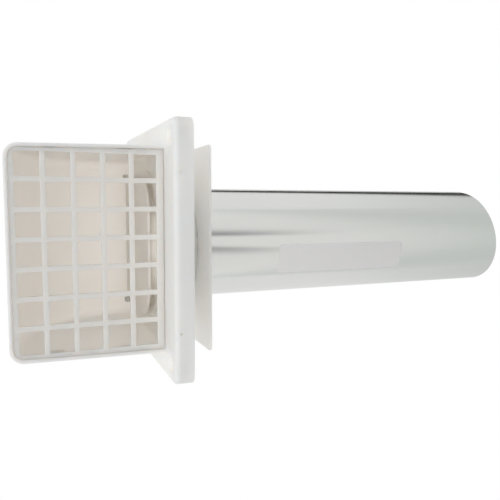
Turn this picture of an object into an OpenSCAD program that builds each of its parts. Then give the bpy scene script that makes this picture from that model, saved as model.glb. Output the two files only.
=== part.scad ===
// Wall vent hood with bird guard, damper flap, trim plate and tail pipe.
// The wall is the XZ plane: +Y runs into the wall along the pipe, -Y is outdoors, +Z is up.
// The origin is the centre of the duct on the flange's back face, where it meets the wall.

/* [Flange] */
// Side of the square flange
flange_w = 157; // [150:0.2:180]
// Depth of the flange from the wall to its front face
flange_depth = 11.6; // [10:0.2:16]
// Radius of the flange's four corners, seen from the front
flange_corner_r = 7.5; // [5:0.5:14]
// Radius of the flange's front edge
flange_edge_r = 3; // [1:0.25:4]
// Thickness of the flange's front plate
flange_face_t = 2.4; // [2:0.1:3]
// Thickness of the flange's four rims
flange_rim_t = 2.4; // [2:0.1:3.5]
// Distance between neighbouring screw holes
screw_spacing = 134.6; // [128:0.2:138]
// Diameter of a screw hole
screw_hole_d = 4.8; // [3.6:0.1:6]
// Diameter of the recess for a screw's head
screw_head_d = 9.6; // [8:0.2:11]
// Depth of the recess for a screw's head
screw_head_h = 2; // [1:0.25:3]
// Outer diameter of a screw boss
screw_boss_d = 13; // [12:0.5:15]
// Thickness of the ribs behind the flange
rib_t = 1.6; // [1.2:0.1:2.5]
// How far the ribs stop short of the wall
rib_recess = 1; // [0.5:0.25:3]
// Distance of each weep hole from the middle of the lower rim
weep_offset = 46.8; // [30:0.2:56]
// Diameter of a weep hole
weep_d = 1.6; // [1:0.1:2.5]
// Distance of the weep holes behind the flange's front face
weep_setback = 3.6; // [3.5:0.1:5]

/* [Hood] */
// Width of the hood where it leaves the flange
hood_w = 127.2; // [120:0.2:134]
// Width of the hood at its front
hood_front_w = 123.7; // [114:0.1:127]
// Depth of the hood from the flange's front face
hood_depth = 89; // [80:0.2:110]
// Height of the hood's top above the duct's axis
hood_top = 63.6; // [62:0.2:67]
// Depth of the mouth's edge below the duct's axis
mouth_drop = 54; // [52:0.2:60]
// Radius of the hood's front and upper edges
hood_edge_r = 8; // [4:0.5:12]
// Thickness of the hood's wall
hood_wall_t = 2.1; // [1.6:0.1:2.8]

/* [Duct collar and damper seat] */
// Depth of the pipe's socket from the wall
socket_depth = 6; // [4:0.25:8]
// Radial clearance between the pipe and its socket
socket_gap = 0.1; // [0.05:0.05:0.3]
// Thickness of the socket's wall
socket_wall_t = 2.6; // [2:0.1:4]
// Width of the shoulder at the bottom of the socket, which the pipe's end rests on
shoulder_w = 1.1; // [0.6:0.1:2]
// Outer diameter of the seat ring that the flap closes on
seat_d = 87; // [82:0.5:88]
// Thickness of the seat ring's wall
seat_wall_t = 2.2; // [1.6:0.1:2.6]
// Height of the seat ring at its top, from the flange's front face
seat_top_h = 2.8; // [2.2:0.1:4]
// Lean of the seat, which lets the flap fall shut
seat_lean = 2.6; // [1.5:0.1:4]
// Outer diameter of the raised step around the seat ring
step_d = 101; // [96:0.5:102]
// Height of the raised step
step_h = 1.6; // [0.8:0.1:1.8]

/* [Damper flap] */
// Width of the flap
flap_w = 90; // [86:0.5:92]
// Thickness of the flap
flap_t = 1.4; // [1:0.1:1.8]
// How far the flap's lower edge lies below the duct's axis
flap_drop = 45; // [43.5:0.25:46]
// Radius of the flap's two lower corners
flap_corner_r = 26; // [16:1:36]
// Gap between the closed flap and its seat
flap_gap = 0.2; // [0.1:0.05:0.4]
// Height of the hinge above the duct's axis
hinge_height = 53; // [52.6:0.2:54]
// Diameter of the hinge rod moulded on the flap
hinge_rod_d = 3; // [2.4:0.1:3.2]
// Radial clearance between the hinge rod and its lugs
hinge_gap = 0.15; // [0.1:0.05:0.3]
// Thickness of a hinge lug
lug_t = 4; // [3:0.25:5]
// Wall of a hinge lug around its hole
lug_wall_t = 2; // [1.4:0.1:2.6]
// How far the rod's ends stay inside the lugs' outer faces
rod_setback = 0.5; // [0.2:0.1:1]
// Gap between the flap's side and a hinge lug
lug_gap = 0.8; // [0.4:0.1:1.5]
// Width of the slot through which the hinge rod snaps into a lug
lug_slot_w = 2.6; // [2.2:0.1:2.8]

/* [Bird guard] */
// Gap between the guard and the hood's wall, all round
guard_gap = 0.4; // [0.3:0.1:1]
// Thickness of the guard
guard_t = 2.2; // [1.6:0.1:2.2]
// How far the guard lies inside the hood's mouth
guard_recess = 0.3; // [0:0.1:1]
// Width of the guard's bars
guard_bar_w = 3; // [1.8:0.1:3.4]
// Least width of the guard's frame
guard_border_w = 2; // [1.5:0.1:4]
// Openings from side to side
guard_rows = 7; // [5:1:9]
// Openings from front to back
guard_columns = 5; // [4:1:7]
// Distance between openings from side to side
guard_row_pitch = 16.9; // [12:0.1:18]
// Distance between openings from front to back
guard_column_pitch = 16.4; // [11:0.1:17.5]
// Distance of the middle opening from the flange's front face
grid_out = 44.2; // [42:0.2:46]
// Width of a snap tab and of the ledge that holds it
tab_w = 9; // [6:0.5:14]
// Thickness of a snap tab
tab_t = 1.2; // [1:0.1:1.6]
// Distance of the snap tabs from the flange's front face
tab_out = [22.2, 64]; // [12:0.2:76]
// Reach of a tab's hook over its ledge
hook_reach = 0.8; // [0.5:0.1:1]
// Clearance between a tab and its ledge
tab_gap = 0.3; // [0.2:0.05:0.5]
// Height of a ledge above the guard
ledge_rise = 2; // [1:0.1:4]
// Thickness of a ledge
ledge_t = 1.2; // [0.8:0.1:2]
// Distance of the stops above the guard from the flange's front face
stop_out = [10.6, 42.6, 74.6]; // [6:0.2:80]
// Length of a stop along the guard
stop_w = 4.5; // [3:0.5:7]
// Reach of a stop over the guard
stop_reach = 1.6; // [1.2:0.1:3]
// Height of a stop
stop_h = 6; // [3:0.5:9]

/* [Tail pipe] */
// Outer diameter of the pipe
pipe_d = 76.2; // [76:0.1:77]
// Length of the pipe on its axis
pipe_len = 279.4; // [150:0.2:450]
// Thickness of the pipe's sheet
pipe_t = 0.45; // [0.35:0.05:0.6]
// Slant of the cut at the pipe's free end
end_slant = 9.7; // [0:0.1:15]
// Width of the lap where the sheet's edges join
seam_w = 6; // [4:0.5:10]

/* [Trim plate] */
// Side of the square trim plate
trim_w = 127.4; // [110:0.2:160]
// Thickness of the trim plate
trim_t = 1.3; // [0.8:0.1:2]
// Radius of the trim plate's corners
trim_corner_r = 3.5; // [1:0.5:10]
// Gap between the flange's back and the trim plate
trim_setback = 14; // [2:0.5:60]
// Radial clearance between the trim plate and the pipe
trim_gap = 0.8; // [0.7:0.05:1.2]
// How far the trim plate hangs down on the pipe
trim_sag = 0.5; // [0.3:0.05:0.6]
// Turn of the trim plate about the pipe, on which it hangs loose
trim_turn = 0.8; // [-5:0.1:5]

/* [Hidden] */
$fn = 128;
// Overrun of a cut past the face that it goes through
over = 1;
// Half sizes
flange_half = flange_w / 2;
hood_half = hood_w / 2;
pipe_r = pipe_d / 2;
duct_r = pipe_r - shoulder_w;
seat_r = seat_d / 2;
rod_r = hinge_rod_d / 2;
socket_r = pipe_r + socket_gap;
// The hood's roof is a quarter turn about a line on the flange's face, at this height
roof_r = hood_depth;
roof_axis_y = hood_top - roof_r;
skirt_h = roof_axis_y + mouth_drop;
// Draft of the hood's side walls, and the half width of its inside at a distance from the flange
side_draft = atan((hood_w - hood_front_w) / 2 / hood_depth);
function inner_half(out, inset) = hood_half - inset / cos(side_draft) - out * tan(side_draft);
// Places of the damper's hinge, from the wall
seat_plane_at_hinge = flange_depth + seat_top_h + (seat_r - hinge_height) * tan(seat_lean);
hinge_out = seat_plane_at_hinge + (flap_gap + flap_t / 2) / cos(seat_lean);
flap_len = (hinge_height + flap_drop) / cos(seat_lean);
lug_r = rod_r + hinge_gap + lug_wall_t;
lug_x = flap_w / 2 + lug_gap;
rod_len = 2 * (lug_x + lug_t - rod_setback);
// Places of the bird guard, along the height of the hood
guard_bottom = guard_recess - mouth_drop;
guard_top = guard_bottom + guard_t;
guard_inset = hood_wall_t + guard_gap;

// Everything but the pipe is drawn lying on the wall, z outwards and y up, and then stood up.
module stand_up() {
    rotate([90, 0, 0]) children();
}

// A square with rounded corners.
module rounded_square(w, r) {
    square([w, w - 2 * r], center = true);
    square([w - 2 * r, w], center = true);
    for (x = [-1, 1], y = [-1, 1]) translate([x, y] * (w / 2 - r)) circle(r);
}

// The section of the flange's edge: x runs outwards from a corner's centre, y from the wall.
module flange_section() {
    square([flange_corner_r, flange_depth - flange_edge_r]);
    square([flange_corner_r - flange_edge_r, flange_depth]);
    translate([flange_corner_r, flange_depth] - [flange_edge_r, flange_edge_r]) circle(flange_edge_r);
}

// The flange's outside, with its section run round four sides and four corners.
module flange_block() {
    side = 2 * (flange_half - flange_corner_r);
    translate([-side / 2, -side / 2, 0]) cube([side, side, flange_depth]);
    for (turn = [0 : 90 : 270]) rotate(turn) translate([side / 2, 0, 0]) {
        rotate([90, 0, 0]) linear_extrude(side, center = true) flange_section();
        translate([0, side / 2, 0]) rotate_extrude(angle = 90) flange_section();
    }
}

// Places its children at the four screws.
module at_screws() {
    for (x = [-1, 1], y = [-1, 1]) translate([x, y, 0] * screw_spacing / 2) children();
}

// The ribs behind the flange: four straight ones, four to the corners, and short webs around each boss.
module flange_ribs() {
    h = flange_depth - (flange_face_t - step_h) / 2 - rib_recess;
    reach = flange_half - flange_rim_t / 2;
    start = socket_r + socket_wall_t / 2;
    translate([0, 0, rib_recess]) {
        for (turn = [0 : 90 : 270]) rotate(turn) {
            translate([start, -rib_t / 2, 0]) cube([reach - start, rib_t, h]);
            rotate(45) translate([start, -rib_t / 2, 0])
                cube([screw_spacing / sqrt(2) - screw_hole_d - start, rib_t, h]);
        }
        at_screws() boss_ties(reach - screw_spacing / 2, h);
    }
}

// Four short webs around a boss: those that point outwards reach the flange's rims.
module boss_ties(reach, h) {
    for (turn = [0 : 90 : 270]) rotate(turn)
        translate([screw_hole_d, -rib_t / 2, 0]) cube([reach - screw_hole_d, rib_t, h]);
}

// The hood in plan: x runs outwards from the flange, y across. inset moves its outline inwards.
module hood_plan(inset) {
    r = hood_edge_r - inset;
    depth = hood_depth - inset;
    back = inner_half(0, inset);
    centre = [depth - r, inner_half(depth - r, inset) - r / cos(side_draft)];
    side_touch = centre + r * [sin(side_draft), cos(side_draft)];
    polygon([
        [0, -back], [side_touch.x, -side_touch.y], [depth, -centre.y],
        [depth, centre.y], side_touch, [0, back]
    ]);
    for (s = [-1, 1]) translate([centre.x, s * centre.y]) circle(r);
}

// The hood as a solid: its plan turned a quarter about the roof's axis, and run straight down.
module hood_form(inset, drop) {
    translate([0, roof_axis_y, flange_depth]) rotate([0, -90, 0]) {
        rotate_extrude(angle = 90) hood_plan(inset);
        rotate([90, 0, 0]) linear_extrude(drop) hood_plan(inset);
    }
}

// Stops above the guard and ledges for its snap tabs, inside both side walls.
module guard_seats() {
    embed = hood_wall_t / 2;
    for (s = [0, 1]) mirror([s, 0, 0]) {
        for (out = stop_out) let (x = inner_half(out, hood_wall_t) - stop_reach)
            translate([x, guard_top, flange_depth + out]) cube([stop_reach + embed, stop_h, stop_w]);
        for (out = tab_out) let (x = inner_half(out, hood_wall_t) - hook_reach)
            translate([x, guard_top + ledge_rise, flange_depth + out - tab_w / 2])
                cube([hook_reach + embed, ledge_t, tab_w]);
    }
}

// The low step around the duct's mouth, a dish pressed forward from the flange's face.
module step(grow, low) {
    translate([0, 0, low]) cylinder(h = flange_depth + step_h - grow - low, r = step_d / 2 - grow);
}

// The ring that the flap closes on, cut to a leaning face.
module seat_ring() {
    size = 2 * seat_d;
    translate([0, 0, flange_depth]) difference() {
        cylinder(h = seat_top_h + seat_d * tan(seat_lean) + over, r = seat_r);
        translate([0, 0, -over]) cylinder(h = size, r = seat_r - seat_wall_t);
        translate([0, seat_r, seat_top_h]) rotate([-seat_lean, 0, 0])
            translate([-size / 2, -size + seat_r, 0]) cube([size, size, size / 2]);
    }
}

// One lug of the damper's hinge, a rounded ear with a slotted hole.
module hinge_lug() {
    translate([lug_x, hinge_height, hinge_out]) rotate([0, 90, 0]) difference() {
        union() {
            cylinder(h = lug_t, r = lug_r);
            translate([0, -lug_r, 0]) cube([hinge_out - flange_depth + flange_face_t / 2, 2 * lug_r, lug_t]);
        }
        translate([0, 0, -over]) {
            cylinder(h = lug_t + 2 * over, r = rod_r + hinge_gap);
            translate([-2 * lug_r, -lug_slot_w / 2, 0]) cube([2 * lug_r, lug_slot_w, lug_t + 2 * over]);
        }
    }
}

module hood_body() {
    color([0.93, 0.93, 0.91]) stand_up() difference() {
        union() {
            difference() {
                union() {
                    flange_block();
                    step(0, flange_face_t);
                }
                translate([0, 0, -over]) linear_extrude(flange_depth - flange_face_t + over)
                    rounded_square(flange_w - 2 * flange_rim_t, flange_corner_r - flange_rim_t);
                step(flange_face_t, 0);
            }
            flange_ribs();
            at_screws() cylinder(h = flange_depth - flange_face_t / 2, d = screw_boss_d);
            cylinder(h = flange_depth, r = socket_r + socket_wall_t);
            seat_ring();
            difference() {
                hood_form(0, skirt_h);
                hood_form(hood_wall_t, skirt_h + over);
            }
            guard_seats();
            for (s = [0, 1]) mirror([s, 0, 0]) hinge_lug();
        }
        translate([0, 0, -over]) {
            cylinder(h = flange_depth + step_h + 2 * over, r = duct_r);
            cylinder(h = socket_depth + over, r = socket_r);
            translate([pipe_r - pipe_t, -seam_w / 2 - socket_gap, 0])
                cube([2 * pipe_t + socket_gap, seam_w + 2 * socket_gap, socket_depth + over]);
        }
        at_screws() {
            translate([0, 0, -over]) cylinder(h = flange_depth + 2 * over, d = screw_hole_d);
            translate([0, 0, flange_depth - screw_head_h])
                cylinder(h = screw_head_h + over, d = screw_head_d);
        }
        for (s = [-1, 1]) translate([s * weep_offset, -flange_half - over, flange_depth - weep_setback])
            rotate([-90, 0, 0]) cylinder(h = flange_rim_t + 2 * over, d = weep_d);
    }
}

// A snap tab of the guard for the wall on the +x side, hooked outwards over its ledge.
module snap_tab(out) {
    face = inner_half(out, hood_wall_t) - hook_reach - tab_gap;
    hook_low = ledge_rise + ledge_t + tab_gap;
    translate([face - tab_t, guard_top - guard_t / 2, flange_depth + out - tab_w / 2]) {
        cube([tab_t, guard_t / 2 + hook_low + 2 * tab_t, tab_w]);
        translate([0, guard_t / 2 + hook_low, 0]) cube([tab_t + hook_reach, tab_t, tab_w]);
    }
}

module bird_guard() {
    first_row = -(guard_rows - 1) / 2 * guard_row_pitch;
    first_column = grid_out - (guard_columns - 1) / 2 * guard_column_pitch;
    hole = [guard_column_pitch - guard_bar_w, guard_row_pitch - guard_bar_w];
    color([0.95, 0.95, 0.93]) stand_up() {
        translate([0, guard_top, flange_depth]) rotate([0, -90, 0]) rotate([90, 0, 0])
            linear_extrude(guard_t) difference() {
                intersection() {
                    hood_plan(guard_inset);
                    translate([guard_gap, -hood_w]) square([hood_depth, 2 * hood_w]);
                }
                intersection() {
                    translate([first_column, first_row])
                        for (row = [0 : guard_rows - 1], column = [0 : guard_columns - 1])
                            translate([column * guard_column_pitch, row * guard_row_pitch])
                                square(hole, center = true);
                    intersection() {
                        hood_plan(guard_inset + guard_border_w);
                        translate([guard_gap + guard_border_w, -hood_w]) square([hood_depth, 2 * hood_w]);
                    }
                }
            }
        for (s = [0, 1], out = tab_out) mirror([s, 0, 0]) snap_tab(out);
    }
}

// The flap hangs from its rod in line with the leaning seat.
module damper_flap() {
    lower = flap_len - flap_corner_r;
    color([0.9, 0.9, 0.88, 0.9]) stand_up()
        translate([0, hinge_height, hinge_out]) {
            rotate([0, 90, 0]) cylinder(h = rod_len, r = rod_r, center = true);
            rotate([-seat_lean, 0, 0]) translate([0, 0, -flap_t / 2]) linear_extrude(flap_t) {
                translate([-flap_w / 2, -lower]) square([flap_w, lower]);
                translate([flap_corner_r - flap_w / 2, -flap_len])
                    square([flap_w - 2 * flap_corner_r, flap_len]);
                for (s = [-1, 1]) translate([s * (flap_w / 2 - flap_corner_r), -lower])
                    circle(flap_corner_r);
            }
        }
}

// A sheet rolled to a tube, its outer edge lapped over the inner one, cut at a slant at the free end.
module tail_pipe() {
    color([0.78, 0.79, 0.78]) difference() {
        translate([0, -socket_depth, 0]) rotate([-90, 0, 0]) difference() {
            union() {
                cylinder(h = pipe_len + pipe_d, r = pipe_r);
                intersection() {
                    cylinder(h = pipe_len + pipe_d, r = pipe_r + pipe_t);
                    translate([0, -seam_w / 2, 0]) cube([pipe_d, seam_w, pipe_len + pipe_d]);
                }
            }
            translate([0, 0, -over]) cylinder(h = pipe_len + pipe_d + 2 * over, r = pipe_r - pipe_t);
        }
        translate([0, pipe_len - socket_depth, 0]) rotate([0, 0, -end_slant])
            translate([-pipe_d, 0, -pipe_d]) cube(2 * pipe_d);
    }
}

// The plate hangs on the pipe by the top of its hole.
module trim_plate() {
    color([0.94, 0.94, 0.9]) stand_up() translate([0, -trim_sag, -trim_setback - trim_t])
        rotate(trim_turn) linear_extrude(trim_t) difference() {
            rounded_square(trim_w, trim_corner_r);
            circle(pipe_r + trim_gap);
        }
}

hood_body();
bird_guard();
damper_flap();
tail_pipe();
trim_plate();
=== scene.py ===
# Wall vent with bird guard, flap, trim plate and tail pipe: the finish of every surface.
# Lengths are in metres, in the part's own frame: +Y into the wall, -Y outdoors, +Z up.

# The frame
# The imported part comes in as fixed solids.
import math

import bmesh
import bpy
import numpy as np
from mathutils import Matrix, Vector


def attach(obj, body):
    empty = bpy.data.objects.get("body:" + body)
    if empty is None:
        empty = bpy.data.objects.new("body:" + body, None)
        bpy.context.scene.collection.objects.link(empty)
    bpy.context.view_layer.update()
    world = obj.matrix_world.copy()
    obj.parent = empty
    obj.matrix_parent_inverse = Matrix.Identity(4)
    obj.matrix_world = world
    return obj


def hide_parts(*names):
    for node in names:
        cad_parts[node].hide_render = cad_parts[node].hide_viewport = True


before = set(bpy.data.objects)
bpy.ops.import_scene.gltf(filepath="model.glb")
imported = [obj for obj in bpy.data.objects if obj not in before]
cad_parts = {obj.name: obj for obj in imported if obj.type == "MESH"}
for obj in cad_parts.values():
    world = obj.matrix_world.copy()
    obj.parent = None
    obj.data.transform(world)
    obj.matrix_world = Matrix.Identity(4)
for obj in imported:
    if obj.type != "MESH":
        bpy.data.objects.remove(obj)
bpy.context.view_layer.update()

# Camera
# It stands below the hood, outdoors of the flange, and looks up and inwards along the pipe. It is turned
# so that outdoors is at the left of the picture.
CAMERA_PLACE = Vector((0.03215, -0.09108, -0.38346))
CAMERA_RIGHT = Vector((0.0053, 0.92466, -0.38076))
CAMERA_DOWN = Vector((-0.99559, -0.03077, -0.08858))
FOCAL_PIXELS = 550.0
FRAME_PIXELS = 500
SENSOR_WIDTH = 36

camera = bpy.data.objects.new("camera", bpy.data.cameras.new("camera"))
bpy.context.scene.collection.objects.link(camera)
bpy.context.scene.camera = camera
camera.data.sensor_width = SENSOR_WIDTH
camera.data.lens = SENSOR_WIDTH * FOCAL_PIXELS / FRAME_PIXELS
camera_back = CAMERA_RIGHT.cross(-CAMERA_DOWN).normalized()
camera_up = camera_back.cross(CAMERA_RIGHT).normalized()
camera.matrix_world = Matrix.Translation(CAMERA_PLACE) @ Matrix(
    (CAMERA_RIGHT.normalized(), camera_up, camera_back)).transposed().to_4x4()
bpy.context.scene.view_settings.view_transform = "Standard"

# Studio
# A white tent over a plain pale floor, with soft lamps above, low in front of the hood's mouth, and
# indoors. What glossy surfaces mirror of the tent and the floor has its own colours, chosen for the pipe.
TENT = (0.84, 0.835, 0.825)
MIRRORED_TENT = (0.82, 0.82, 0.81)
MIRRORED_TENT_INDOORS = (0.60, 0.625, 0.61)
# A direction turns indoors as its part along +Y goes from the first value to the second.
TENT_INDOORS = (0.45, 0.80)
# A dark card hangs above the part's +X side, and the pipe's edge mirrors it as a thin dark line. Each row
# has an axis, and the parts along it between which a mirrored direction comes onto the card.
MIRRORED_CARD = (0.02, 0.02, 0.02)
CARD_EDGES = (
    ((1, 0, 0), 0.03, 0.08),
    ((1, 0, 0), 0.56, 0.50),
    ((0, 0, 1), 0.30, 0.45),
    ((0, 1, 0), 0.05, 0.20),
)


def add_node(tree, kind, links=None, **settings):
    """A node of a kind, with values set by socket name or property, and links from other sockets."""
    node = tree.nodes.new(kind)
    for name, value in settings.items():
        if name in node.inputs:
            node.inputs[name].default_value = value
        else:
            setattr(node, name, value)
    for name, source in (links or {}).items():
        tree.links.new(source, node.inputs[name])
    return node


def maths(tree, operation, first, second=None):
    """One Math node: each operand is a socket or a plain number."""
    node = tree.nodes.new("ShaderNodeMath")
    node.operation = operation
    for index, value in enumerate((first, second)):
        if value is None:
            continue
        if isinstance(value, (int, float)):
            node.inputs[index].default_value = value
        else:
            tree.links.new(value, node.inputs[index])
    return node.outputs[0]


def ramp(tree, value, start, end, low=0.0, high=1.0, kind="SMOOTHSTEP"):
    """Goes from low to high as a value goes from start to end, and stays level outside them."""
    ends = {"From Min": start, "From Max": end, "To Min": low, "To Max": high}
    return add_node(tree, "ShaderNodeMapRange", {"Value": value}, interpolation_type=kind, **ends).outputs[0]


def scaled(tree, vector, factors):
    """A vector with each part multiplied by its own factor."""
    node = add_node(tree, "ShaderNodeVectorMath", {"Vector": vector}, operation="MULTIPLY")
    node.inputs[1].default_value = factors
    return node.outputs[0]


def facing(tree, direction, axis, start, end):
    """0 to 1 as a direction's part along an axis, their dot product, goes from start to end."""
    dot = add_node(tree, "ShaderNodeVectorMath", {"Vector": direction}, operation="DOT_PRODUCT")
    dot.inputs[1].default_value = axis
    return ramp(tree, dot.outputs["Value"], start, end)


def mixed(tree, factor, first, second):
    """A mix of two colours, each a socket or plain values: first + factor * (second - first)."""
    node = tree.nodes.new("ShaderNodeMix")
    node.data_type = "RGBA"
    tree.links.new(factor, node.inputs[0])
    for index, value in ((6, first), (7, second)):
        if hasattr(value, "links"):
            tree.links.new(value, node.inputs[index])
        else:
            node.inputs[index].default_value = (*value, 1)
    return node.outputs[2]


# Light reaches the flap, and the inside of the pipe, only after many bounces.
bpy.context.scene.cycles.max_bounces = 20
bpy.context.scene.cycles.diffuse_bounces = 8
bpy.context.scene.cycles.glossy_bounces = 14

world = bpy.data.worlds.new("white_tent")
bpy.context.scene.world = world
world.use_nodes = True
tree = world.node_tree
tree.nodes.clear()
sky_way = add_node(tree, "ShaderNodeTexCoord").outputs["Generated"]
light_path = add_node(tree, "ShaderNodeLightPath")
indoors = facing(tree, sky_way, (0, 1, 0), *TENT_INDOORS)
mirrored = mixed(tree, indoors, MIRRORED_TENT, MIRRORED_TENT_INDOORS)
card = 1.0
for axis, start, end in CARD_EDGES:
    card = maths(tree, "MULTIPLY", card, facing(tree, sky_way, axis, start, end))
mirrored = mixed(tree, card, mirrored, MIRRORED_CARD)
surround = mixed(tree, light_path.outputs["Is Glossy Ray"], TENT, mirrored)
surround = mixed(tree, light_path.outputs["Is Camera Ray"], surround, (1, 1, 1))
background = add_node(tree, "ShaderNodeBackground", {"Color": surround}, Strength=1.0)
add_node(tree, "ShaderNodeOutputWorld", {"Surface": background.outputs[0]})

FLOOR_LEVEL = -0.62
FLOOR_SIZE = 6.0
FLOOR = (0.80, 0.80, 0.79)
# The floor gives back more light outdoors of the flange than under the pipe.
BOUNCING_FLOOR = (0.85, 0.85, 0.85)
BOUNCING_FLOOR_INDOORS = (0.40, 0.40, 0.40)
BOUNCING_INDOORS = (-0.25, 0.05)
# The pipe mirrors the floor below it, the floor further indoors, and both far to its sides.
MIRRORED_FLOOR = (0.765, 0.765, 0.755)
MIRRORED_FLOOR_INDOORS = (0.60, 0.63, 0.61)
MIRRORED_FLOOR_ASIDE = (0.99, 0.99, 0.98)
MIRRORED_FLOOR_ASIDE_INDOORS = (0.76, 0.79, 0.775)
MIRRORED_INDOORS = (0.40, 0.95)
MIRRORED_ASIDE = (0.45, 1.8)

half = FLOOR_SIZE / 2
corners = [(x * half, y * half, FLOOR_LEVEL) for x, y in ((-1, -1), (1, -1), (1, 1), (-1, 1))]
floor_mesh = bpy.data.meshes.new("floor")
floor_mesh.from_pydata(corners, [], [(0, 1, 2, 3)])
floor = bpy.data.objects.new("floor", floor_mesh)
bpy.context.scene.collection.objects.link(floor)
floor_paint = bpy.data.materials.new("floor_paint")
floor_paint.use_nodes = True
tree = floor_paint.node_tree
shader = tree.nodes["Principled BSDF"]
light_path = add_node(tree, "ShaderNodeLightPath")
place = add_node(tree, "ShaderNodeTexCoord").outputs["Object"]
place = add_node(tree, "ShaderNodeSeparateXYZ", {"Vector": place})
indoors = ramp(tree, place.outputs["Y"], *BOUNCING_INDOORS)
bouncing = mixed(tree, indoors, BOUNCING_FLOOR, BOUNCING_FLOOR_INDOORS)
indoors = ramp(tree, place.outputs["Y"], *MIRRORED_INDOORS)
aside = ramp(tree, maths(tree, "ABSOLUTE", place.outputs["X"]), *MIRRORED_ASIDE, kind="LINEAR")
mirrored = mixed(tree, aside, mixed(tree, indoors, MIRRORED_FLOOR, MIRRORED_FLOOR_INDOORS),
                 mixed(tree, indoors, MIRRORED_FLOOR_ASIDE, MIRRORED_FLOOR_ASIDE_INDOORS))
floor_colour = mixed(tree, light_path.outputs["Is Glossy Ray"], bouncing, mirrored)
floor_colour = mixed(tree, light_path.outputs["Is Camera Ray"], floor_colour, FLOOR)
tree.links.new(floor_colour, shader.inputs["Base Color"])
shader.inputs["Roughness"].default_value = 0.8
floor_mesh.materials.append(floor_paint)

# Each lamp has a name, a place, a width and a power in watts.
LAMPS = (
    ("overhead", (0.0, 0.0, 1.4), 1.2, 3),
    ("low_front", (0.0, -0.36, -0.47), 0.4, 0.8),
    ("indoors", (0.0, 1.0, 0.8), 0.9, 5),
)
LIT_POINT = Vector((0, -0.03, 0))


def add_lamp(name, place, width, watts):
    """A square area lamp that points at the hood, and that neither the camera nor a glossy surface sees."""
    lamp = bpy.data.objects.new(name, bpy.data.lights.new(name, "AREA"))
    lamp.data.size = width
    lamp.data.energy = watts
    lamp.location = place
    lamp.rotation_euler = (LIT_POINT - Vector(place)).to_track_quat("-Z", "Y").to_euler()
    lamp.visible_glossy = False
    lamp.visible_camera = False
    bpy.context.scene.collection.objects.link(lamp)


for name, place, width, watts in LAMPS:
    add_lamp("lamp_" + name, place, width, watts)

# Flange and hood
# The flange, the quarter-round hood and the duct's collar are one moulding of white polypropylene, with
# walls so thin that light passes through. Its edges are slightly rounded, as the mould leaves them.
MM = 0.001
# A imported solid's loose triangles are merged and its flat faces joined before its edges are rounded.
MERGE_WITHIN = 0.002 * MM
FLAT_WITHIN = math.radians(0.5)
SHARP_FROM = math.radians(35)
# The grain is finer than the picture shows. Red light goes further in the plastic than green and blue.
GRAIN_SCALE = 1400.0
GRAIN_DEPTH = 0.02 * MM
LIGHT_REACH = (1.0, 0.82, 0.70)
# The seat ring, with the collar behind it, comes in from the first depth and distance to the second.
SEAT_DEPTH = (-19 * MM, -17.9 * MM)
SEAT_FROM_AXIS = (50 * MM, 46 * MM)
NUMBER = "NodeSocketFloat"
COLOUR = "NodeSocketColor"


def shader_group(name, inputs, outputs):
    """An empty shader node group with float or colour sockets, and its input and output nodes."""
    group = bpy.data.node_groups.new(name, "ShaderNodeTree")
    for socket, kind, value in inputs:
        made = group.interface.new_socket(socket, in_out="INPUT", socket_type=kind)
        made.default_value = value
    for socket, kind in outputs:
        group.interface.new_socket(socket, in_out="OUTPUT", socket_type=kind)
    return group, group.nodes.new("NodeGroupInput"), group.nodes.new("NodeGroupOutput")


# The moulded surface has a colour and a gloss that drift in soft clouds, and a fine grain.
moulded, given, result = shader_group(
    "moulded_surface",
    [("Colour", COLOUR, (0.8, 0.8, 0.8, 1)), ("Tint", COLOUR, (0.75, 0.75, 0.7, 1)),
     ("Cloud size", NUMBER, 0.03), ("Tint amount", NUMBER, 0.5),
     ("Gloss", NUMBER, 0.4), ("Gloss spread", NUMBER, 0.08)],
    [("Colour", COLOUR), ("Roughness", NUMBER), ("Height", NUMBER)])
place = add_node(moulded, "ShaderNodeTexCoord").outputs["Object"]
cloud_scale = maths(moulded, "DIVIDE", 1.0, given.outputs["Cloud size"])
cloud = add_node(moulded, "ShaderNodeTexNoise", {"Vector": place, "Scale": cloud_scale},
                 Detail=3.0, Roughness=0.55).outputs["Fac"]
grain = add_node(moulded, "ShaderNodeTexNoise", {"Vector": place}, Scale=GRAIN_SCALE, Detail=2.0)
tinting = maths(moulded, "MULTIPLY", cloud, given.outputs["Tint amount"])
tinted = mixed(moulded, tinting, given.outputs["Colour"], given.outputs["Tint"])
moulded.links.new(tinted, result.inputs["Colour"])
gloss_drift = maths(moulded, "SUBTRACT", cloud, 0.5)
gloss_drift = maths(moulded, "MULTIPLY", gloss_drift, given.outputs["Gloss spread"])
gloss = maths(moulded, "ADD", gloss_drift, given.outputs["Gloss"])
moulded.links.new(gloss, result.inputs["Roughness"])
moulded.links.new(grain.outputs["Fac"], result.inputs["Height"])


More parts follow.
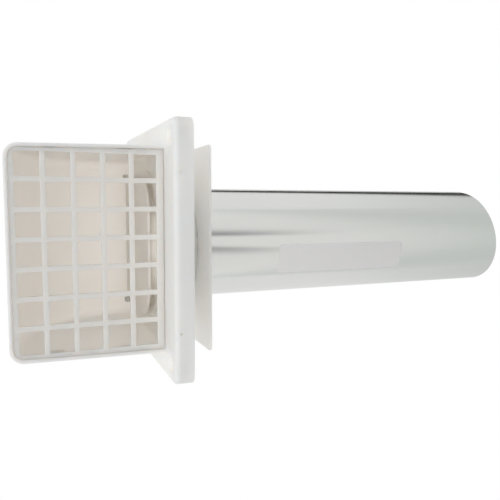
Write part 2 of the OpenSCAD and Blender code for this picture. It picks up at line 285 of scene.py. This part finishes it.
def moulded_plastic(name, colour, tint, gloss, scatter, through=1.0, through_at_seat=None):
    """A plastic with the moulded surface, that lets some light through, and less at the seat ring.
    The seat ring is where two ramps, of depth and of distance from the duct's axis, multiply to 1."""
    material = bpy.data.materials.new(name)
    material.use_nodes = True
    tree = material.node_tree
    shader = tree.nodes["Principled BSDF"]
    surface = add_node(tree, "ShaderNodeGroup", node_tree=moulded)
    surface.inputs["Colour"].default_value = (*colour, 1)
    surface.inputs["Tint"].default_value = (*tint, 1)
    surface.inputs["Gloss"].default_value = gloss
    grain = add_node(tree, "ShaderNodeBump", {"Height": surface.outputs["Height"]},
                     Strength=0.25, Distance=GRAIN_DEPTH)
    tree.links.new(surface.outputs["Colour"], shader.inputs["Base Color"])
    tree.links.new(surface.outputs["Roughness"], shader.inputs["Roughness"])
    tree.links.new(grain.outputs["Normal"], shader.inputs["Normal"])
    shader.inputs["Subsurface Weight"].default_value = through
    shader.inputs["Subsurface Radius"].default_value = LIGHT_REACH
    shader.inputs["Subsurface Scale"].default_value = scatter
    if through_at_seat is not None:
        place = add_node(tree, "ShaderNodeTexCoord").outputs["Object"]
        depth = add_node(tree, "ShaderNodeSeparateXYZ", {"Vector": place}).outputs["Y"]
        aside = scaled(tree, place, (1, 0, 1))
        from_axis = add_node(tree, "ShaderNodeVectorMath", {"Vector": aside}, operation="LENGTH")
        from_axis = from_axis.outputs["Value"]
        seat = maths(tree, "MULTIPLY", ramp(tree, depth, *SEAT_DEPTH), ramp(tree, from_axis, *SEAT_FROM_AXIS))
        weight = ramp(tree, seat, 0, 1, through, through_at_seat, "LINEAR")
        tree.links.new(weight, shader.inputs["Subsurface Weight"])
    return material


def put_on(piece, material):
    """Gives a piece its one material."""
    piece.data.materials.clear()
    piece.data.materials.append(material)


def softened(node, name, radius):
    """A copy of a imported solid, in its place, with its sharp edges rounded to a small radius."""
    mesh = bpy.data.meshes.new(name)
    shape = bmesh.new()
    shape.from_mesh(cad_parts[node].data)
    bmesh.ops.remove_doubles(shape, verts=shape.verts, dist=MERGE_WITHIN)
    bmesh.ops.dissolve_limit(shape, angle_limit=FLAT_WITHIN, verts=shape.verts, edges=shape.edges)
    for face in shape.faces:
        face.smooth = True
    shape.to_mesh(mesh)
    shape.free()
    piece = bpy.data.objects.new(name, mesh)
    bpy.context.scene.collection.objects.link(piece)
    rounding = piece.modifiers.new("rounding", "BEVEL")
    rounding.width = radius
    rounding.segments = 2
    rounding.limit_method = "ANGLE"
    rounding.angle_limit = SHARP_FROM
    piece.modifiers.new("flat_faces", "WEIGHTED_NORMAL")
    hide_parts(node)
    return piece


hood = softened("hood_body", "hood", radius=0.25 * MM)
put_on(hood, moulded_plastic("white_hood", colour=(0.98, 0.955, 0.905), tint=(0.97, 0.945, 0.89),
                             gloss=0.38, scatter=12 * MM, through_at_seat=0.1))
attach(hood, "vent")

# Bird guard
# A moulded grid of white polypropylene, slightly greyer and more matt than the hood. Its tabs snap over
# ledges inside the hood's mouth.
guard = softened("bird_guard", "guard", radius=0.2 * MM)
put_on(guard, moulded_plastic("white_guard", colour=(0.89, 0.825, 0.775), tint=(0.88, 0.815, 0.765),
                              gloss=0.45, scatter=10 * MM))
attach(guard, "vent")

# Back-draught flap
# A light plate of white polypropylene with its hinge rod moulded on. It hangs from the two lugs in front
# of the duct, and its own weight shuts it.
flap = softened("damper_flap", "flap", radius=0.3 * MM)
put_on(flap, moulded_plastic("white_flap", colour=(0.985, 0.965, 0.94), tint=(0.975, 0.955, 0.93),
                             gloss=0.45, scatter=1 * MM, through=0.1))
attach(flap, "flap")

# Trim plate
# A square sheet of slightly warmer white plastic with a hole, loose on the pipe. It covers the hole in
# the wall's inner side.
trim = softened("trim_plate", "trim", radius=0.25 * MM)
put_on(trim, moulded_plastic("white_trim", colour=(0.975, 0.965, 0.93), tint=(0.965, 0.955, 0.92),
                             gloss=0.5, scatter=30 * MM))
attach(trim, "trim")

# Tail pipe
# A bright sheet rolled to a tube, its outer edge lapped over the inner one, and sheared at a slant at the
# free end. Handling has left it slightly wavy, with two long shallow creases by the trim plate. A dark
# reflection is painted along the creases.
PIPE_RADIUS = 38.1 * MM
SHEET = 0.45 * MM
PIPE_START = -6.0 * MM
PIPE_CUT = 273.4 * MM
END_SLANT = math.radians(9.7)
LAP_WIDTH = 6.0 * MM
LAP_HALF = math.asin(LAP_WIDTH / 2 / PIPE_RADIUS)
LAP_SLACK = 0.03 * MM
JOG = math.radians(3.0)
LAP_STEPS = 9
JOG_STEPS = 8
STEPS_ROUND = 360
STEPS_ALONG = 120
# Each wave has its share of the depth, its number round the pipe, its length along it, and its start.
# The flange's socket holds the sheet round, so the waves grow over a length from there.
WAVE_DEPTH = 0.025 * MM
WAVES = ((1.0, 3, 60 * MM, 0.0), (0.6, 5, -45 * MM, 1.3), (0.4, 11, 90 * MM, 0.4))
WAVE_RISE = 30 * MM
# Each crease has its angle at the wall end and its drift round the pipe, in degrees from +X towards -Z,
# its spread in degrees, its fading length along the pipe, its depth, how dark the reflection painted
# along it is, and the side on which it is wider.
CREASES = (
    (77.8, 1.7, 2.1, 62 * MM, 0.10 * MM, 1.0, -1),
    (90.2, 6.3, 2.6, 52 * MM, 0.08 * MM, 0.8, 1),
)
# The creases come out from under the trim plate, and begin to fade a little further on.
CREASE_START = 13 * MM
CREASE_RISE = 5 * MM
CREASE_FULL_TO = 20 * MM
SOFT_SIDE = 1.9
SHARP_SIDE = 0.9
# The painted dark reflection lies a little round the pipe from each crease.
REFLECTION_SHIFT = math.radians(0.8)
# The small dent has its angle and place along the pipe, its spread round and along it, and its depth.
DENT = (math.radians(75), 215 * MM, 5 * MM, 7 * MM, 0.12 * MM)
# The sheet's fine lines run along the pipe, because their pattern is stretched along it.
LINE_SCALE = 420.0
LINE_STRETCH = (1.0, 0.03, 1.0)
CLOUD_SCALE = 22.0
BRIGHT = (0.84, 0.845, 0.835)
CLOUDED = (0.80, 0.81, 0.80)
LINED = (0.76, 0.765, 0.76)
# The colour painted along the creases as their dark reflection.
PAINTED_REFLECTION = (0.38, 0.38, 0.385)
SMOOTHEST = 0.10
CLOUD_ROUGHNESS = 0.10
LINE_ROUGHNESS = 0.06


def bump_shape(distance, spread):
    """1 at the middle, fading to 0 over about two spreads: exp(-(distance / spread) ** 2)."""
    return np.exp(-(distance / spread) ** 2)


def crease_marks(angle, y):
    """Each crease's profile at angles round the pipe and distances along it, with its depth and the darkness
    of its painted reflection.
    Across it is a bump, wider on the soft side. Along it the profile rises, stays, and fades as a bump."""
    marks = []
    rise = np.clip((y - CREASE_START) / CREASE_RISE, 0, 1)
    for start, drift, spread, fade, depth, dark, soft_side in CREASES:
        along = rise * bump_shape(np.maximum(y - CREASE_FULL_TO, 0), fade)
        beside = np.degrees(angle) - start - drift * (1 - np.exp(-np.maximum(y, 0) / fade))
        across = bump_shape(beside, spread * np.where(beside * soft_side > 0, SOFT_SIDE, SHARP_SIDE))
        marks.append((across * along, depth, dark))
    return marks


def sheet_inset(angle, y):
    """How far handling has pushed the sheet inwards, in metres: waves, creases and a dent, added up."""
    wave = sum(share * np.sin(count * angle + y / length + start) for share, count, length, start in WAVES)
    inset = WAVE_DEPTH * np.clip(y / WAVE_RISE, 0, 1) * wave
    for mark, depth, _ in crease_marks(angle, y):
        inset = inset + depth * mark
    dent_angle, dent_y, spread_round, spread_along, dent_depth = DENT
    dent = bump_shape(PIPE_RADIUS * (angle - dent_angle), spread_round) * bump_shape(y - dent_y, spread_along)
    return inset + dent_depth * dent


def painted_crease_reflection(angle, y):
    """How dark the painted reflection along the creases is, 0 to 1: the creases' profiles, moved a little
    round and added up.
    """
    return np.clip(sum(dark * mark for mark, _, dark in crease_marks(angle + REFLECTION_SHIFT, y)), 0, 1)


def round_the_pipe(radius, angle, y):
    """Points at a radius, an angle from +X towards -Z, and a distance along the pipe."""
    return np.stack([radius * np.cos(angle), y, -radius * np.sin(angle)], 2).reshape(-1, 3)


def mesh_piece(name, points, faces):
    """A smoothly shaded object from arrays of points and of four-sided faces."""
    mesh = bpy.data.meshes.new(name)
    mesh.from_pydata(points.tolist(), [], faces.tolist())
    mesh.polygons.foreach_set("use_smooth", [True] * len(mesh.polygons))
    piece = bpy.data.objects.new(name, mesh)
    bpy.context.scene.collection.objects.link(piece)
    return piece


def rolled_sheet():
    """The pipe: a closed ribbon section in angle and radius, carried straight along Y to the slanted cut.
    The section runs from the outer edge of the lap, down the jog, and once round under the lap."""
    turn = np.concatenate([np.linspace(LAP_HALF, -LAP_HALF, LAP_STEPS),
                           -LAP_HALF - JOG * np.linspace(1 / JOG_STEPS, 1, JOG_STEPS),
                           np.linspace(-LAP_HALF - JOG, -math.tau - LAP_HALF, STEPS_ROUND)[1:]])
    # The sheet's edge lies on the sheet under it, and comes down over the jog along a smooth step.
    lift = np.clip((turn + LAP_HALF + JOG) / JOG, 0, 1)
    outer = PIPE_RADIUS + (SHEET + LAP_SLACK) * lift * lift * (3 - 2 * lift)
    section = np.concatenate([np.stack([turn, outer], 1), np.stack([turn, outer - SHEET], 1)[::-1]])
    angle, radius = section.T
    along = np.linspace(0, 1, STEPS_ALONG)[:, None]
    end = PIPE_CUT - radius * np.cos(angle) * math.tan(END_SLANT)
    y = PIPE_START + (end - PIPE_START) * along
    # Angles past a whole turn lie under the lap, and take the same inset as what lies on them.
    plain = (angle + math.pi) % math.tau - math.pi
    pressed = radius - sheet_inset(plain, y)
    points = round_the_pipe(pressed, np.broadcast_to(angle, y.shape), y)
    # Neighbouring sections are joined by quads, and strips between the sheet's two sides close the ends.
    around = len(section)
    corner = np.arange((STEPS_ALONG - 1) * around).reshape(-1, around)
    beside = np.roll(corner, -1, 1)
    walls = np.stack([corner, beside, beside + around, corner + around], 2).reshape(-1, 4)
    first = np.arange(around // 2 - 1)
    strip = np.stack([first, around - 1 - first, around - 2 - first, first + 1], 1)
    far_strip = strip[:, ::-1] + (STEPS_ALONG - 1) * around
    piece = mesh_piece("pipe", points, np.concatenate([walls, strip, far_strip]))
    # Each point keeps how dark the reflection painted along the creases is there.
    mark = piece.data.attributes.new("painted_crease_reflection", "FLOAT", "POINT")
    mark.data.foreach_set("value", painted_crease_reflection(plain, y).ravel())
    return piece


def outward(piece):
    """Turns all faces of a closed piece outwards, and marks its sharp edges."""
    shape = bmesh.new()
    shape.from_mesh(piece.data)
    bmesh.ops.recalc_face_normals(shape, faces=shape.faces)
    for edge in shape.edges:
        edge.smooth = len(edge.link_faces) != 2 or edge.calc_face_angle() < SHARP_FROM
    shape.to_mesh(piece.data)
    shape.free()


def bright_metal(name):
    """Bright rolled sheet: soft clouds and fine lines in its colour and gloss, and a painted dark reflection
    along the creases.
    """
    material = bpy.data.materials.new(name)
    material.use_nodes = True
    tree = material.node_tree
    shader = tree.nodes["Principled BSDF"]
    place = add_node(tree, "ShaderNodeTexCoord").outputs["Object"]
    lines = add_node(tree, "ShaderNodeTexNoise", {"Vector": scaled(tree, place, LINE_STRETCH)},
                     Scale=LINE_SCALE, Detail=4.0).outputs["Fac"]
    clouds = add_node(tree, "ShaderNodeTexNoise", {"Vector": place},
                      Scale=CLOUD_SCALE, Detail=3.0, Distortion=0.6).outputs["Fac"]
    reflection_amount = add_node(tree, "ShaderNodeAttribute", attribute_name="painted_crease_reflection").outputs["Fac"]
    colour = mixed(tree, maths(tree, "MULTIPLY", clouds, 0.5), BRIGHT, CLOUDED)
    colour = mixed(tree, maths(tree, "MULTIPLY", lines, 0.25), colour, LINED)
    # Along the creases the colour is darkened as a painted reflection.
    colour = mixed(tree, reflection_amount, colour, PAINTED_REFLECTION)
    tree.links.new(colour, shader.inputs["Base Color"])
    roughness = maths(tree, "MULTIPLY", clouds, CLOUD_ROUGHNESS)
    roughness = maths(tree, "ADD", roughness, maths(tree, "MULTIPLY", lines, LINE_ROUGHNESS))
    tree.links.new(maths(tree, "ADD", roughness, SMOOTHEST), shader.inputs["Roughness"])
    ridges = add_node(tree, "ShaderNodeBump", {"Height": lines}, Strength=0.2, Distance=0.02 * MM)
    tree.links.new(ridges.outputs["Normal"], shader.inputs["Normal"])
    shader.inputs["Metallic"].default_value = 1.0
    return material


pipe = rolled_sheet()
outward(pipe)
put_on(pipe, bright_metal("bright_sheet"))
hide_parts("tail_pipe")
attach(pipe, "vent")

# Blank sticker
# A plain paper label with round corners, stuck along the underside of the pipe. It is bent round the
# pipe, and follows the sheet's waves.
STICKER_ALONG = (73.9 * MM, 178.2 * MM)
STICKER_ROUND = (math.radians(89.9), math.radians(122.4))
STICKER_CORNER = 2.5 * MM
STICKER_LAYERS = (0.12 * MM, 0.01 * MM)
STICKER_ROWS = 40
STICKER_COLUMNS = 90


def sticker_sheet():
    """A thin closed sheet: rows across the label, each as long as the label is there.
    In the corners a row ends on the circle, at sqrt(radius ** 2 - over ** 2) past the corner's centre."""
    half_long = (STICKER_ALONG[1] - STICKER_ALONG[0]) / 2
    first, last = STICKER_ROUND
    half_wide = PIPE_RADIUS * (last - first) / 2
    across = np.sin(np.linspace(-math.pi / 2, math.pi / 2, STICKER_ROWS))[:, None] * half_wide
    over = np.maximum(np.abs(across) - (half_wide - STICKER_CORNER), 0)
    reach = half_long - STICKER_CORNER + np.sqrt(np.maximum(STICKER_CORNER ** 2 - over ** 2, 0))
    y = (STICKER_ALONG[0] + STICKER_ALONG[1]) / 2 + np.linspace(-1, 1, STICKER_COLUMNS) * reach
    angle = np.broadcast_to((first + last) / 2 + across / PIPE_RADIUS, y.shape)
    pressed = PIPE_RADIUS - sheet_inset(angle, y)
    points = np.concatenate([round_the_pipe(pressed + lift, angle, y) for lift in STICKER_LAYERS])
    # The upper layer's faces are turned round for the lower one, and the rim joins the two.
    number = np.arange(y.size).reshape(y.shape)
    upper = np.stack([number[:-1, :-1], number[:-1, 1:], number[1:, 1:], number[1:, :-1]], 2).reshape(-1, 4)
    layers = np.stack([upper, upper[:, ::-1] + y.size], 1).reshape(-1, 4)
    rim = np.concatenate([number[0], number[1:, -1], number[-1, -2::-1], number[-2:0:-1, 0]])
    after = np.roll(rim, -1)
    rim_faces = np.stack([rim, rim + y.size, after + y.size, after], 1)
    return mesh_piece("sticker", points, np.concatenate([layers, rim_faces]))


sticker = sticker_sheet()
outward(sticker)
sticker_paper = bpy.data.materials.new("sticker_paper")
sticker_paper.use_nodes = True
shader = sticker_paper.node_tree.nodes["Principled BSDF"]
shader.inputs["Base Color"].default_value = (0.90, 0.895, 0.90, 1)
shader.inputs["Roughness"].default_value = 0.35
put_on(sticker, sticker_paper)
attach(sticker, "vent")
